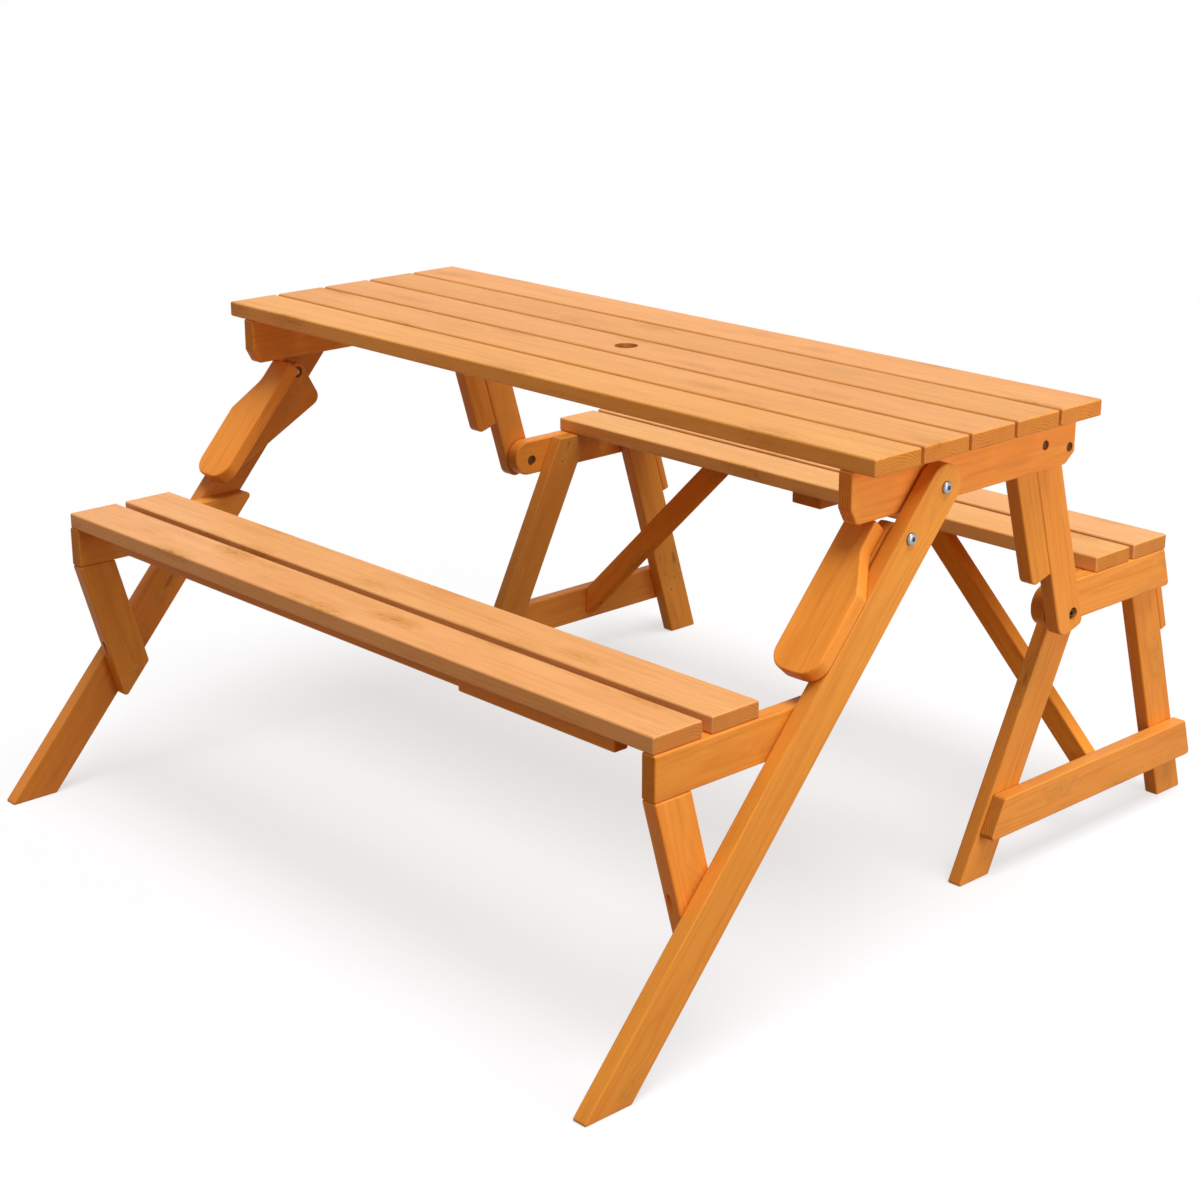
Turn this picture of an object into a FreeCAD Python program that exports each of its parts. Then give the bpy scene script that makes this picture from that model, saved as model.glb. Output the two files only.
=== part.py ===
import FreeCAD, Part
import math
import os
from types import SimpleNamespace

# Wooden picnic table whose top folds over on two link arms and becomes the back of a garden bench.
# X runs along the table, Y from the front seat to the rear bench, Z up from the floor.
# The origin lies on the floor, midway between the ends and midway between the outermost feet.

Vector = FreeCAD.Vector
doc = FreeCAD.newDocument("PicnicTableBench")

# Driving dimensions, in millimetres and degrees.
SIZES = {
    "board_thickness": 24,
    "edge_round": 3,
    "end_round": 6,
    "corner_round": 8,
    "table_length": 1390,
    "table_height": 748,
    "top_slat_width": 90,
    "top_slat_gap": 6.5,
    "top_front_reach": 154.56,
    "top_rail_height": 72,
    "top_rail_setback": 4,
    "rail_nose_height": 22,
    "rail_nose_length": 12,
    "rail_tail_height": 15,
    "rail_tail_length": 20,
    "parasol_hole": 36,
    "dowel_diameter": 12,
    "dowel_bite": 15,
    "seat_height": 462,
    "seat_slat_width": 84.5,
    "front_seat_gap": 16.5,
    "rear_seat_gap": 11,
    "frame_board_width": 62,
    "table_overhang": 10,
    "pivot_gap": 3,
    "spacer_thickness": 15,
    "link_gap": 2,
    "long_leg_angle": 41.4,
    "leg_pivot_drop": 42.6,
    "full_fold_angle": 109.32,
    "fold_pivot_drop": 36.5,
    "link_arm_reach": 298,
    "link_arm_front": 36,
    "link_arm_rear": 20,
    "link_arm_foot": 26,
    "link_toe_round": 20,
    "link_heel_round": 10,
    "stop_block_width": 43,
    "stop_block_gap": 0.5,
    "stop_block_start": 88,
    "stop_block_round": 12,
    "front_seat_setback": 140.5,
    "front_slat_inset": 3,
    "front_rail_overhang": 8.5,
    "front_brace_angle": 15.6,
    "front_brace_overhang": 4,
    "stretcher_inset": 60,
    "short_stretcher_length": 299,
    "stretcher_joint": 2,
    "stretcher_width": 24,
    "stretcher_setback": 24,
    "short_stretcher_setback": 13,
    "stretcher_screw_setback": 60,
    "rear_foot_reach": 402.2,
    "rear_foot_lead": 170.3,
    "rear_seat_setback": 89.7,
    "rear_nose_reach": 37.3,
    "rail_nose_flat": 2,
    "rear_rail_setback": 1,
    "rear_front_leg_angle": 26.6,
    "rear_back_leg_angle": 17.2,
    "rear_back_leg_width": 60,
    "leg_block_width": 16,
    "leg_block_length": 87,
    "foot_stretcher_bottom": 68,
    "foot_stretcher_front_setback": 5,
    "foot_stretcher_rear_overhang": 5,
    "batten_width": 64,
    "batten_setback": 16,
    "rear_brace_width": 38,
    "rear_brace_setback": 43,
    "rear_brace_reach": 341,
    "rear_brace_foot_height": 102.5,
    "armrest_pivot_drop": 86.6,
    "armrest_pivot_lead": 14,
    "armrest_rail_gap": 20.2,
    "armrest_width": 79,
    "armrest_neck_width": 49,
    "armrest_shoulder_round": 12,
    "armrest_end_round": 28,
    "armrest_neck_round": 40,
    "armrest_corner_round": 4,
    "armrest_head_setback": 3,
    "armrest_rest_gap": 0.5,
    "bracket_head": 16,
    "bracket_depth": 70,
    "bracket_toe": 14,
    "bracket_tip_length": 26,
    "bracket_tail_clearance": 0.8,
    "bracket_tail_round": 16,
    "bracket_taper_round": 20,
    "bracket_toe_setback": 4,
    "pivot_bolt": 8,
    "pivot_clearance": 0.1,
    "bolt_head": 17,
    "bolt_head_height": 5,
    "bolt_dome_round": 3.5,
    "bolt_socket": 6,
    "bolt_socket_depth": 3,
    "nut_across": 13,
    "nut_height": 6,
    "recess_diameter": 19,
    "recess_depth": 8,
    "washer_diameter": 20,
    "link_bolt": 6,
    "link_bolt_head": 11,
    "link_bolt_head_height": 4,
    "link_bolt_round": 2,
    "link_nut_across": 10,
    "link_nut_height": 4,
    "link_recess": 14,
    "link_recess_depth": 6,
    "screw_diameter": 4,
    "screw_head": 8,
    "screw_head_height": 3,
    "screw_slot": 4.8,
    "screw_slot_width": 1,
    "screw_point": 0.8,
    "screw_bite": 15,
    "driver_bore": 9,
    "screw_sink": 22,
    "screw_spread": 12,
    "screw_stagger": 8,
    "seating_gap": 0.3,
}

v = SimpleNamespace(**SIZES)
sheet = doc.addObject("Spreadsheet::Sheet", "Sizes")
for row, (alias, size) in enumerate(SIZES.items(), start=1):
    sheet.set(f"A{row}", alias)
    sheet.set(f"B{row}", str(size))
    sheet.setAlias(f"B{row}", alias)
doc.recompute()

SIDES = {"left": -1, "right": 1}

# Layers across the table, from the middle outwards: the inner face of each board, for the right side.
leg_face = "(Sizes.table_length / 2 - Sizes.table_overhang - Sizes.board_thickness)"
top_rail_face = f"({leg_face} - Sizes.pivot_gap - Sizes.board_thickness)"
link_arm_face = f"({top_rail_face} - Sizes.spacer_thickness - Sizes.board_thickness)"
rear_rail_face = f"({link_arm_face} - Sizes.link_gap - Sizes.board_thickness)"
rear_leg_face = f"({rear_rail_face} - Sizes.board_thickness)"
seat_rail_face = f"({leg_face} - Sizes.board_thickness)"
spacer_face = f"({link_arm_face} + Sizes.board_thickness)"


def number(expression):
    """Value of a layer's expression in millimetres."""
    return float(sheet.evalExpression(expression.replace("Sizes.", "")))


x_leg = number(leg_face)
x_leg_outer = x_leg + v.board_thickness
x_top_rail = number(top_rail_face)
x_link_arm = number(link_arm_face)
x_rear_rail = number(rear_rail_face)
x_rear_leg = number(rear_leg_face)
x_seat_rail = number(seat_rail_face)
x_spacer = number(spacer_face)

# Heights that several boards share.
top_underside = v.table_height - v.board_thickness
top_rail_bottom = top_underside - v.top_rail_height
seat_underside = v.seat_height - v.board_thickness
seat_rail_bottom = seat_underside - v.frame_board_width
top_pitch = v.top_slat_width + v.top_slat_gap
leg_pivot_height = top_underside - v.leg_pivot_drop
fold_pivot_height = seat_underside - v.fold_pivot_drop
front_pitch = v.seat_slat_width + v.front_seat_gap
rear_pitch = v.seat_slat_width + v.rear_seat_gap


def slope(degrees):
    """How far a leaning edge moves along Y for each millimetre of height."""
    return math.tan(math.radians(degrees))


def level_width(width, degrees):
    """Width of a leaning board measured along the floor."""
    return width / math.cos(math.radians(degrees))


def direction(degrees):
    """Unit vector in the Y-Z plane that leans rearward by this angle from upright."""
    angle = math.radians(degrees)
    return (math.sin(angle), math.cos(angle))


def along(start, unit, distance, side_step=0):
    """Point at a distance along a leaning axis, and a side step towards the front of it."""
    y = start[0] + unit[0] * distance - unit[1] * side_step
    z = start[1] + unit[1] * distance + unit[0] * side_step
    return (y, z)


# Depth, added up from the front feet to the leg pivots, on to the fold pivots, and on to the rear feet.
# Folding carries the leg pivots to the same height behind the fold pivots, which sets the middle reach.
leg_slope = slope(v.long_leg_angle)
leg_level = level_width(v.frame_board_width, v.long_leg_angle)
leg_axis = direction(v.long_leg_angle)
leg_pivot_reach = leg_slope * leg_pivot_height + leg_level / 2
fold_reach = (leg_pivot_height - fold_pivot_height) * slope(v.full_fold_angle / 2)
foot_half_depth = (leg_pivot_reach + fold_reach + v.rear_foot_reach) / 2
fold_pivot = (foot_half_depth - v.rear_foot_reach, fold_pivot_height)

# The link arms lean from the fold pivots to a place under the top, a fixed reach behind the leg pivots.
link_arm_rise = top_underside - fold_pivot_height
link_arm_angle = math.degrees(math.atan2(fold_reach - v.link_arm_reach, link_arm_rise))
link_axis = direction(-link_arm_angle)

# Places of the seats and of the rear bench's boards along Y.
front_seat_front = v.front_seat_setback - foot_half_depth
rear_seat_front = fold_pivot[0] + v.rear_seat_setback
rear_rail_nose = fold_pivot[0] - v.rear_nose_reach
rear_rail_end = rear_seat_front + rear_pitch + v.seat_slat_width - v.rear_rail_setback
rear_front_foot = fold_pivot[0] - v.rear_foot_lead
rear_brace_front = rear_seat_front + v.rear_brace_setback


def leg_front(height):
    return leg_slope * height - foot_half_depth


def leg_rear(height):
    return leg_front(height) + leg_level


leg_pivot = (leg_front(leg_pivot_height) + leg_level / 2, leg_pivot_height)
armrest_pivot = along(leg_pivot, leg_axis, -v.armrest_pivot_drop, v.armrest_pivot_lead)
top_front = leg_pivot[0] - v.top_front_reach
top_rear = top_front + 4 * top_pitch + v.top_slat_width
top_centre = (top_front + top_rear) / 2


def polygon_with_rounds(corners):
    """Lines and arcs through corners given as (y, z, radius)."""
    pieces = []
    ends = []
    count = len(corners)
    for index in range(count):
        before = Vector(*corners[index - 1][:2], 0)
        here = Vector(*corners[index][:2], 0)
        after = Vector(*corners[(index + 1) % count][:2], 0)
        radius = corners[index][2]
        if radius == 0:
            ends.append((here, here))
            continue
        towards_before = (before - here).normalize()
        towards_after = (after - here).normalize()
        half_angle = towards_before.getAngle(towards_after) / 2
        reach = radius / math.tan(half_angle)
        middle_axis = (towards_before + towards_after).normalize()
        centre = here + middle_axis * (radius / math.sin(half_angle))
        arc_start = here + towards_before * reach
        arc_end = here + towards_after * reach
        pieces.append(Part.Arc(arc_start, centre - middle_axis * radius, arc_end))
        ends.append((arc_start, arc_end))
    for index in range(count):
        start = ends[index][1]
        end = ends[(index + 1) % count][0]
        if (end - start).Length > 1e-6:
            pieces.append(Part.LineSegment(start, end))
    return pieces


def origin_plane(body, role):
    return next(plane for plane in body.Origin.OriginFeatures if plane.Role == role)


def add_sketch(body, name, role, offset, geometry):
    """Sketch on one of the body's own origin planes, moved along its normal by a sheet expression."""
    sketch = body.newObject("Sketcher::SketchObject", name)
    sketch.AttachmentSupport = [(origin_plane(body, role), "")]
    sketch.MapMode = "FlatFace"
    sketch.setExpression(".AttachmentOffset.Base.z", offset)
    sketch.addGeometry(geometry, False)
    return sketch


def add_board(name, role, offset, geometry, thickness="Sizes.board_thickness"):
    """Board cut to an outline, with all its edges eased."""
    body = doc.addObject("PartDesign::Body", name)
    body.Label = name
    sketch = add_sketch(body, f"{name}_outline", role, offset, geometry)
    pad = body.newObject("PartDesign::Pad", f"{name}_pad")
    pad.Profile = sketch
    pad.setExpression("Length", thickness)
    doc.recompute()
    fillet = body.newObject("PartDesign::Fillet", f"{name}_eased")
    fillet.Base = (pad, [""])
    fillet.UseAllEdges = True
    fillet.setExpression("Radius", "Sizes.edge_round")
    return body


def side_offset(side, inner_face):
    """Offset of the sketch plane: the board always grows towards +X from it."""
    if side > 0:
        return inner_face
    return f"-{inner_face} - Sizes.board_thickness"


def bore(body, role, circles, low, high):
    """Round holes along a plane's normal, from low to high, given as (first, second, diameter)."""
    tag = len(body.Group)
    geometry = [Part.Circle(Vector(a, b, 0), Vector(0, 0, 1), d / 2) for a, b, d in circles]
    sketch = add_sketch(body, f"{body.Label}_holes_{tag}", role, f"{high}", geometry)
    pocket = body.newObject("PartDesign::Pocket", f"{body.Label}_bores_{tag}")
    pocket.Profile = sketch
    pocket.Length = high - low
    before = body.Shape.Volume
    doc.recompute()
    assert body.Shape.Volume < before, f"{body.Label}: holes cut nothing"


def bore_across(body, side, circles, inner, outer):
    """Holes along X between two distances from the middle, on the board's own side."""
    low, high = sorted((side * inner, side * outer))
    bore(body, "YZ_Plane", circles, low, high)


SCREW_BORE = v.screw_diameter
PAST = 1

# The top: five slats, two rails, and a dowel across each gap in the middle of the slats.


def make_top():
    slats = []
    half = v.table_length / 2
    for index in range(5):
        front = top_front + index * top_pitch
        corners = [(-half, front), (half, front), (half, front + v.top_slat_width),
                   (-half, front + v.top_slat_width)]
        outline = polygon_with_rounds([(x, y, 0) for x, y in corners])
        slat = add_board(f"top_slat_{index + 1}", "XY_Plane", "Sizes.table_height - Sizes.board_thickness",
                         outline)
        slats.append(slat)
    doc.recompute()
    for index, slat in enumerate(slats):
        middle = top_front + index * top_pitch + v.top_slat_width / 2
        circles = [(x, y, SCREW_BORE) for x, y in top_screw_places() if y == middle]
        bore(slat, "XY_Plane", circles, top_underside - PAST, top_underside + v.screw_bite)
    parasol = [(0, top_centre, v.parasol_hole)]
    bore(slats[2], "XY_Plane", parasol, top_underside - PAST, v.table_height + PAST)

    middle_height = (top_underside + v.table_height) / 2
    for index, gap_front in enumerate(top_gap_fronts()):
        gap_rear = gap_front + v.top_slat_gap
        for slat, near, far in ((slats[index], gap_front - v.dowel_bite, gap_front + PAST),
                                (slats[index + 1], gap_rear - PAST, gap_rear + v.dowel_bite)):
            bore(slat, "XZ_Plane", [(0, middle_height, v.dowel_diameter)], -far, -near)

    rail_rear = top_rear - v.top_rail_setback
    for name, side in SIDES.items():
        outline = polygon_with_rounds([
            (top_front, top_underside, 0),
            (top_front, top_rail_bottom + v.rail_nose_height, v.corner_round),
            (top_front + v.rail_nose_length, top_rail_bottom, v.corner_round),
            (rail_rear - v.rail_tail_length, top_rail_bottom, v.corner_round),
            (rail_rear, top_rail_bottom + v.rail_tail_height, v.corner_round),
            (rail_rear, top_underside, 0)])
        rail = add_board(f"top_rail_{name}", "YZ_Plane", side_offset(side, top_rail_face), outline)
        doc.recompute()
        bore_across(rail, side, [(*leg_pivot, v.pivot_bolt + 2 * v.pivot_clearance)],
                    x_top_rail - PAST, x_leg)
        bore_across(rail, side, [(*place, v.link_bolt) for place in link_bolt_places()],
                    x_top_rail - PAST, x_leg)
        bore_across(rail, side, [(*place, v.link_recess) for place in link_bolt_places()],
                    x_top_rail + v.board_thickness - v.link_recess_depth, x_leg)
        rail_x = side * (x_top_rail + v.board_thickness / 2)
        places = [(x, y) for x, y in top_screw_places() if x == rail_x]
        bore(rail, "XY_Plane", [(x, y, SCREW_BORE) for x, y in places],
             top_rail_bottom - PAST, top_underside + PAST)
        bore(rail, "XY_Plane", [(x, y, v.driver_bore) for x, y in places],
             top_rail_bottom - PAST, sunk_head(top_underside))


def top_gap_fronts():
    """Front side of each gap between two of the top's slats."""
    return [top_front + index * top_pitch - v.top_slat_gap for index in range(1, 5)]


def top_screw_places():
    """One screw in each crossing of a slat with a rail."""
    places = []
    for index in range(5):
        y = top_front + index * top_pitch + v.top_slat_width / 2
        for side in SIDES.values():
            places.append((side * (x_top_rail + v.board_thickness / 2), y))
    return places


def sunk_head(underside):
    """Height up to which a rail is bored wide from below, for a screw head sunk inside it."""
    return underside - v.screw_sink + v.screw_head_height


# The link arms, their stop blocks and the spacers that carry them on the rails.


def link_point(height_along, forward):
    return along(fold_pivot, link_axis, height_along, forward)


def link_at_height(height, forward):
    """Point of the link arm's edge at a height, for an edge that lies this far in front of the axis."""
    start = link_point(0, forward)
    reach = (height - start[1]) / link_axis[1]
    return along(start, link_axis, reach)


def link_bolt_places():
    """One bolt through the stop block and one through the arm."""
    block_middle = v.link_arm_front + v.stop_block_gap + v.stop_block_width / 2
    arm_middle = (v.link_arm_front - v.link_arm_rear) / 2
    height = top_rail_bottom + v.top_rail_height / 2
    return [link_at_height(height, block_middle), link_at_height(height - v.screw_spread, arm_middle)]


def make_link_arms():
    block_near = v.link_arm_front + v.stop_block_gap
    block_far = block_near + v.stop_block_width
    for name, side in SIDES.items():
        offset = side_offset(side, link_arm_face)
        arm = add_board(f"link_arm_{name}", "YZ_Plane", offset, polygon_with_rounds([
            (*link_at_height(top_underside, v.link_arm_front), 0),
            (*link_point(-v.link_arm_foot, v.link_arm_front), v.link_toe_round),
            (*link_point(-v.link_arm_foot, -v.link_arm_rear), v.link_heel_round),
            (*link_at_height(top_underside, -v.link_arm_rear), 0)]))
        block = add_board(f"stop_block_{name}", "YZ_Plane", offset, polygon_with_rounds([
            (*link_at_height(top_underside, block_far), 0),
            (*link_point(v.stop_block_start, block_far), v.stop_block_round),
            (*link_point(v.stop_block_start, block_near), 0),
            (*link_at_height(top_underside, block_near), 0)]))
        doc.recompute()
        bolt_size = v.pivot_bolt + 2 * v.pivot_clearance
        outer = x_link_arm + v.board_thickness
        bore_across(arm, side, [(*fold_pivot, bolt_size)], x_link_arm - PAST, outer + PAST)
        bore_across(arm, side, [(*fold_pivot, v.recess_diameter)], outer - v.recess_depth, outer + PAST)
        for board, place in zip((block, arm), link_bolt_places()):
            bore_across(board, side, [(*place, v.link_bolt)], x_link_arm - PAST, outer + PAST)
            bore_across(board, side, [(*place, v.link_recess)], x_link_arm - PAST,
                        x_link_arm + v.link_recess_depth)

        offset = spacer_face if side > 0 else f"-{spacer_face} - Sizes.spacer_thickness"
        rail_rear = top_rear - v.top_rail_setback
        front = link_at_height(top_rail_bottom, block_far)[0]
        spacer = add_board(f"link_spacer_{name}", "YZ_Plane", offset, polygon_with_rounds([
            (front, top_underside, 0),
            (front, top_rail_bottom, v.corner_round),
            (rail_rear - v.rail_tail_length, top_rail_bottom, v.corner_round),
            (rail_rear, top_rail_bottom + v.rail_tail_height, v.corner_round),
            (rail_rear, top_underside, 0)]), "Sizes.spacer_thickness")
        doc.recompute()
        bore_across(spacer, side, [(*place, v.link_bolt) for place in link_bolt_places()],
                    x_spacer - PAST, x_top_rail + PAST)


# The rear bench: it stands still while everything else folds over it.


def rear_front_leg_edge(height):
    return rear_front_foot + slope(v.rear_front_leg_angle) * height


def rear_back_leg_edge(height):
    return foot_half_depth - slope(v.rear_back_leg_angle) * height


def rear_slat_screw_places():
    places = []
    for index in range(2):
        y = rear_seat_front + index * rear_pitch + v.seat_slat_width / 2
        for side in SIDES.values():
            places.append((side * (x_rear_rail + v.board_thickness / 2), y))
            places.append((side * v.batten_width / 4, y))
    return places


# The rear braces slant from under the front slat down to the foot stretchers.
brace_top = x_rear_rail - v.rear_brace_reach
brace_rise = seat_underside - v.rear_brace_foot_height
brace_half_level = v.rear_brace_width / 2 * math.hypot(v.rear_brace_reach, brace_rise) / brace_rise


def rear_brace_edge(edge):
    """Distance from the middle of a brace's edge under the slat: edge 1 is the upper one, -1 the lower."""
    return brace_top + edge * brace_half_level


def rear_brace_foot(edge):
    """Height where that edge meets the foot stretcher."""
    return seat_underside - (x_rear_rail - rear_brace_edge(edge)) * brace_rise / v.rear_brace_reach


def make_rear_bench():
    slats = []
    half = x_rear_rail + v.board_thickness
    for index, place in enumerate(("front", "back")):
        front = rear_seat_front + index * rear_pitch
        outline = polygon_with_rounds([(-half, front, 0), (half, front, 0),
                                       (half, front + v.seat_slat_width, 0),
                                       (-half, front + v.seat_slat_width, 0)])
        slats.append(add_board(f"rear_seat_slat_{place}", "XY_Plane",
                               "Sizes.seat_height - Sizes.board_thickness", outline))
    doc.recompute()
    for index, slat in enumerate(slats):
        middle = rear_seat_front + index * rear_pitch + v.seat_slat_width / 2
        circles = [(x, y, SCREW_BORE) for x, y in rear_slat_screw_places() if y == middle]
        bore(slat, "XY_Plane", circles, seat_underside - PAST, seat_underside + v.screw_bite)
    brace_middle = rear_brace_front + v.board_thickness / 2
    brace_screws = [(side * brace_top, brace_middle, SCREW_BORE) for side in SIDES.values()]
    bore(slats[0], "XY_Plane", brace_screws, seat_underside - PAST, seat_underside + v.screw_bite)

    batten_front = rear_seat_front + v.batten_setback
    batten_rear = rear_seat_front + rear_pitch + v.seat_slat_width - v.batten_setback
    half_batten = v.batten_width / 2
    batten = add_board("rear_centre_batten", "XY_Plane", "Sizes.seat_height - 2 * Sizes.board_thickness",
                       polygon_with_rounds([(-half_batten, batten_front, 0),
                                            (half_batten, batten_front, 0),
                                            (half_batten, batten_rear, 0),
                                            (-half_batten, batten_rear, 0)]))
    doc.recompute()
    bottom = seat_underside - v.board_thickness
    places = [(x, y) for x, y in rear_slat_screw_places() if abs(x) < half_batten]
    bore(batten, "XY_Plane", [(x, y, SCREW_BORE) for x, y in places], bottom - PAST, seat_underside + PAST)
    bore(batten, "XY_Plane", [(x, y, v.screw_head) for x, y in places], bottom - PAST,
         bottom + v.screw_head_height)

    nose = (v.frame_board_width - v.rail_nose_flat) / 2
    end_slant = slope(v.rear_back_leg_angle) * v.frame_board_width
    back_level = level_width(v.rear_back_leg_width, v.rear_back_leg_angle)
    front_level = level_width(v.frame_board_width, v.rear_front_leg_angle)
    stretcher_top = v.foot_stretcher_bottom + v.frame_board_width
    block_bottom = seat_rail_bottom - v.leg_block_length
    block_corner = block_bottom + v.leg_block_width * direction(v.rear_back_leg_angle)[0]
    for name, side in SIDES.items():
        rail = add_board(f"rear_seat_rail_{name}", "YZ_Plane", side_offset(side, rear_rail_face),
                         polygon_with_rounds([
                             (rear_rail_nose, seat_underside, nose),
                             (rear_rail_nose, seat_rail_bottom, nose),
                             (rear_rail_end + end_slant, seat_rail_bottom, v.end_round),
                             (rear_rail_end, seat_underside, 0)]))
        front_leg = add_board(f"rear_front_leg_{name}", "YZ_Plane", side_offset(side, rear_leg_face),
                              polygon_with_rounds([
                                  (rear_front_leg_edge(0), 0, 0),
                                  (rear_front_leg_edge(0) + front_level, 0, 0),
                                  (rear_front_leg_edge(seat_underside) + front_level, seat_underside, 0),
                                  (rear_front_leg_edge(seat_underside), seat_underside, 0)]))
        back_leg = add_board(f"rear_back_leg_{name}", "YZ_Plane", side_offset(side, rear_leg_face),
                             polygon_with_rounds([
                                 (rear_back_leg_edge(0) - back_level, 0, 0),
                                 (rear_back_leg_edge(0), 0, 0),
                                 (rear_back_leg_edge(seat_underside), seat_underside, 0),
                                 (rear_back_leg_edge(seat_underside) - back_level, seat_underside, 0)]))
        add_board(f"rear_leg_block_{name}", "YZ_Plane", side_offset(side, rear_leg_face),
                  polygon_with_rounds([
                      (rear_back_leg_edge(seat_rail_bottom), seat_rail_bottom, 0),
                      (rear_back_leg_edge(block_bottom), block_bottom, 0),
                      (rear_back_leg_edge(block_corner) + v.leg_block_width, block_corner, 0),
                      (rear_back_leg_edge(seat_rail_bottom) + v.leg_block_width, seat_rail_bottom, 0)]))
        setback = v.foot_stretcher_front_setback
        overhang = v.foot_stretcher_rear_overhang
        stretcher = add_board(f"foot_stretcher_{name}", "YZ_Plane", side_offset(side, rear_rail_face),
                              polygon_with_rounds([
                                  (rear_front_leg_edge(v.foot_stretcher_bottom) + setback,
                                   v.foot_stretcher_bottom, v.end_round),
                                  (rear_back_leg_edge(v.foot_stretcher_bottom) + overhang,
                                   v.foot_stretcher_bottom, v.end_round),
                                  (rear_back_leg_edge(stretcher_top) + overhang, stretcher_top,
                                   v.end_round),
                                  (rear_front_leg_edge(stretcher_top) + setback, stretcher_top,
                                   v.end_round)]))
        brace = add_board(f"rear_brace_{name}", "XZ_Plane",
                          f"{-rear_brace_front} - Sizes.board_thickness",
                          polygon_with_rounds([(side * x, z, 0) for x, z in (
                              (rear_brace_edge(-1), seat_underside),
                              (rear_brace_edge(1), seat_underside),
                              (x_rear_rail, rear_brace_foot(1)),
                              (x_rear_rail, rear_brace_foot(-1)))]))
        doc.recompute()
        inner = x_rear_rail
        outer = x_rear_rail + v.board_thickness
        bolt_size = v.pivot_bolt + 2 * v.pivot_clearance
        bore_across(rail, side, [(*fold_pivot, bolt_size)], inner - PAST, outer + PAST)
        bore_across(rail, side, [(*fold_pivot, v.recess_diameter)], inner - PAST, inner + v.recess_depth)
        places = [(x, y) for x, y in rear_slat_screw_places() if x * side > v.batten_width]
        bore(rail, "XY_Plane", [(x, y, SCREW_BORE) for x, y in places],
             seat_rail_bottom - PAST, seat_underside + PAST)
        bore(rail, "XY_Plane", [(x, y, v.driver_bore) for x, y in places],
             seat_rail_bottom - PAST, sunk_head(seat_underside))
        for size, top, end in ((SCREW_BORE, seat_underside + PAST, x_rear_rail + PAST),
                               (v.driver_bore, sunk_head(seat_underside),
                                x_rear_rail - v.screw_sink + v.screw_head_height)):
            bore(brace, "XY_Plane", [(side * brace_top, brace_middle, size)],
                 top - v.frame_board_width, top)
            bore_across(brace, side, [(brace_middle, v.rear_brace_foot_height, size)],
                        end - v.frame_board_width, end)
        bore_across(stretcher, side, [(brace_middle, v.rear_brace_foot_height, SCREW_BORE)],
                    inner - PAST, inner + v.screw_bite)
        joints = rear_frame_screw_places()
        for leg, key in ((front_leg, "front_leg"), (back_leg, "back_leg")):
            circles = [(*place, SCREW_BORE) for place in joints[key]]
            bore_across(leg, side, circles, x_rear_leg - PAST, x_rear_rail + PAST)
            heads = [(*place, v.screw_head) for place in joints[key]]
            bore_across(leg, side, heads, x_rear_leg - PAST, x_rear_leg + v.screw_head_height)
            for board, part_key in ((rail, "rail"), (stretcher, "stretcher")):
                circles = [(*place, SCREW_BORE) for place in joints[key] if place in joints[part_key]]
                bore_across(board, side, circles, x_rear_rail - PAST, x_rear_rail + v.screw_bite)


def rear_frame_screw_places():
    """Screws through the rear bench's legs into the seat rail and the foot stretcher, as (y, z)."""
    front_level = level_width(v.frame_board_width, v.rear_front_leg_angle)
    back_level = level_width(v.rear_back_leg_width, v.rear_back_leg_angle)
    places = {"front_leg": [], "back_leg": [], "rail": [], "stretcher": []}
    for key, bottom in (("rail", seat_rail_bottom), ("stretcher", v.foot_stretcher_bottom)):
        for step in (-1, 1):
            height = bottom + v.frame_board_width / 2 + step * v.screw_spread
            front = (rear_front_leg_edge(height) + front_level / 2 + step * v.screw_stagger, height)
            back = (rear_back_leg_edge(height) - back_level / 2 + step * v.screw_stagger, height)
            places["front_leg"].append(front)
            places["back_leg"].append(back)
            places[key] += [front, back]
    return places


# The front seat: it hangs on the long legs and only shifts rearward when the top folds.


front_slat_half = x_leg - v.front_slat_inset
short_stretcher_end = x_seat_rail - v.stretcher_inset
short_stretcher_start = short_stretcher_end - v.short_stretcher_length


def front_slat_screw_places():
    places = []
    for index in range(2):
        y = front_seat_front + index * front_pitch + v.seat_slat_width / 2
        for side in SIDES.values():
            places.append((side * (x_seat_rail + front_slat_half) / 2, y))
    return places


def stretchers():
    """The long and the short stretcher under the front slat, as (name, left end, right end, front)."""
    return [("front_seat_stretcher_long", -short_stretcher_end, short_stretcher_start - v.stretcher_joint,
             front_seat_front + v.stretcher_setback),
            ("front_seat_stretcher_short", short_stretcher_start, short_stretcher_end,
             front_seat_front + v.short_stretcher_setback)]


def stretcher_screw_places():
    """Two screws up through each stretcher into the front slat."""
    places = []
    for _, left, right, front in stretchers():
        y = front + v.stretcher_width / 2
        places += [(left + v.stretcher_screw_setback, y), (right - v.stretcher_screw_setback, y)]
    return places


def front_brace_edge(height):
    return front_seat_front + slope(v.front_brace_angle) * (seat_rail_bottom - height)


def front_brace_tip(edge_step):
    """Where an edge of the front brace, this far behind its front edge, meets the cut beside the leg."""
    target = front_brace_edge(0) + edge_step
    cut = leg_rear(0) + v.front_brace_overhang
    height = (target - cut) / (leg_slope + slope(v.front_brace_angle))
    return (cut + leg_slope * height, height)


BRACE_SCREW_SHARES = (0.35, 0.7)


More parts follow.
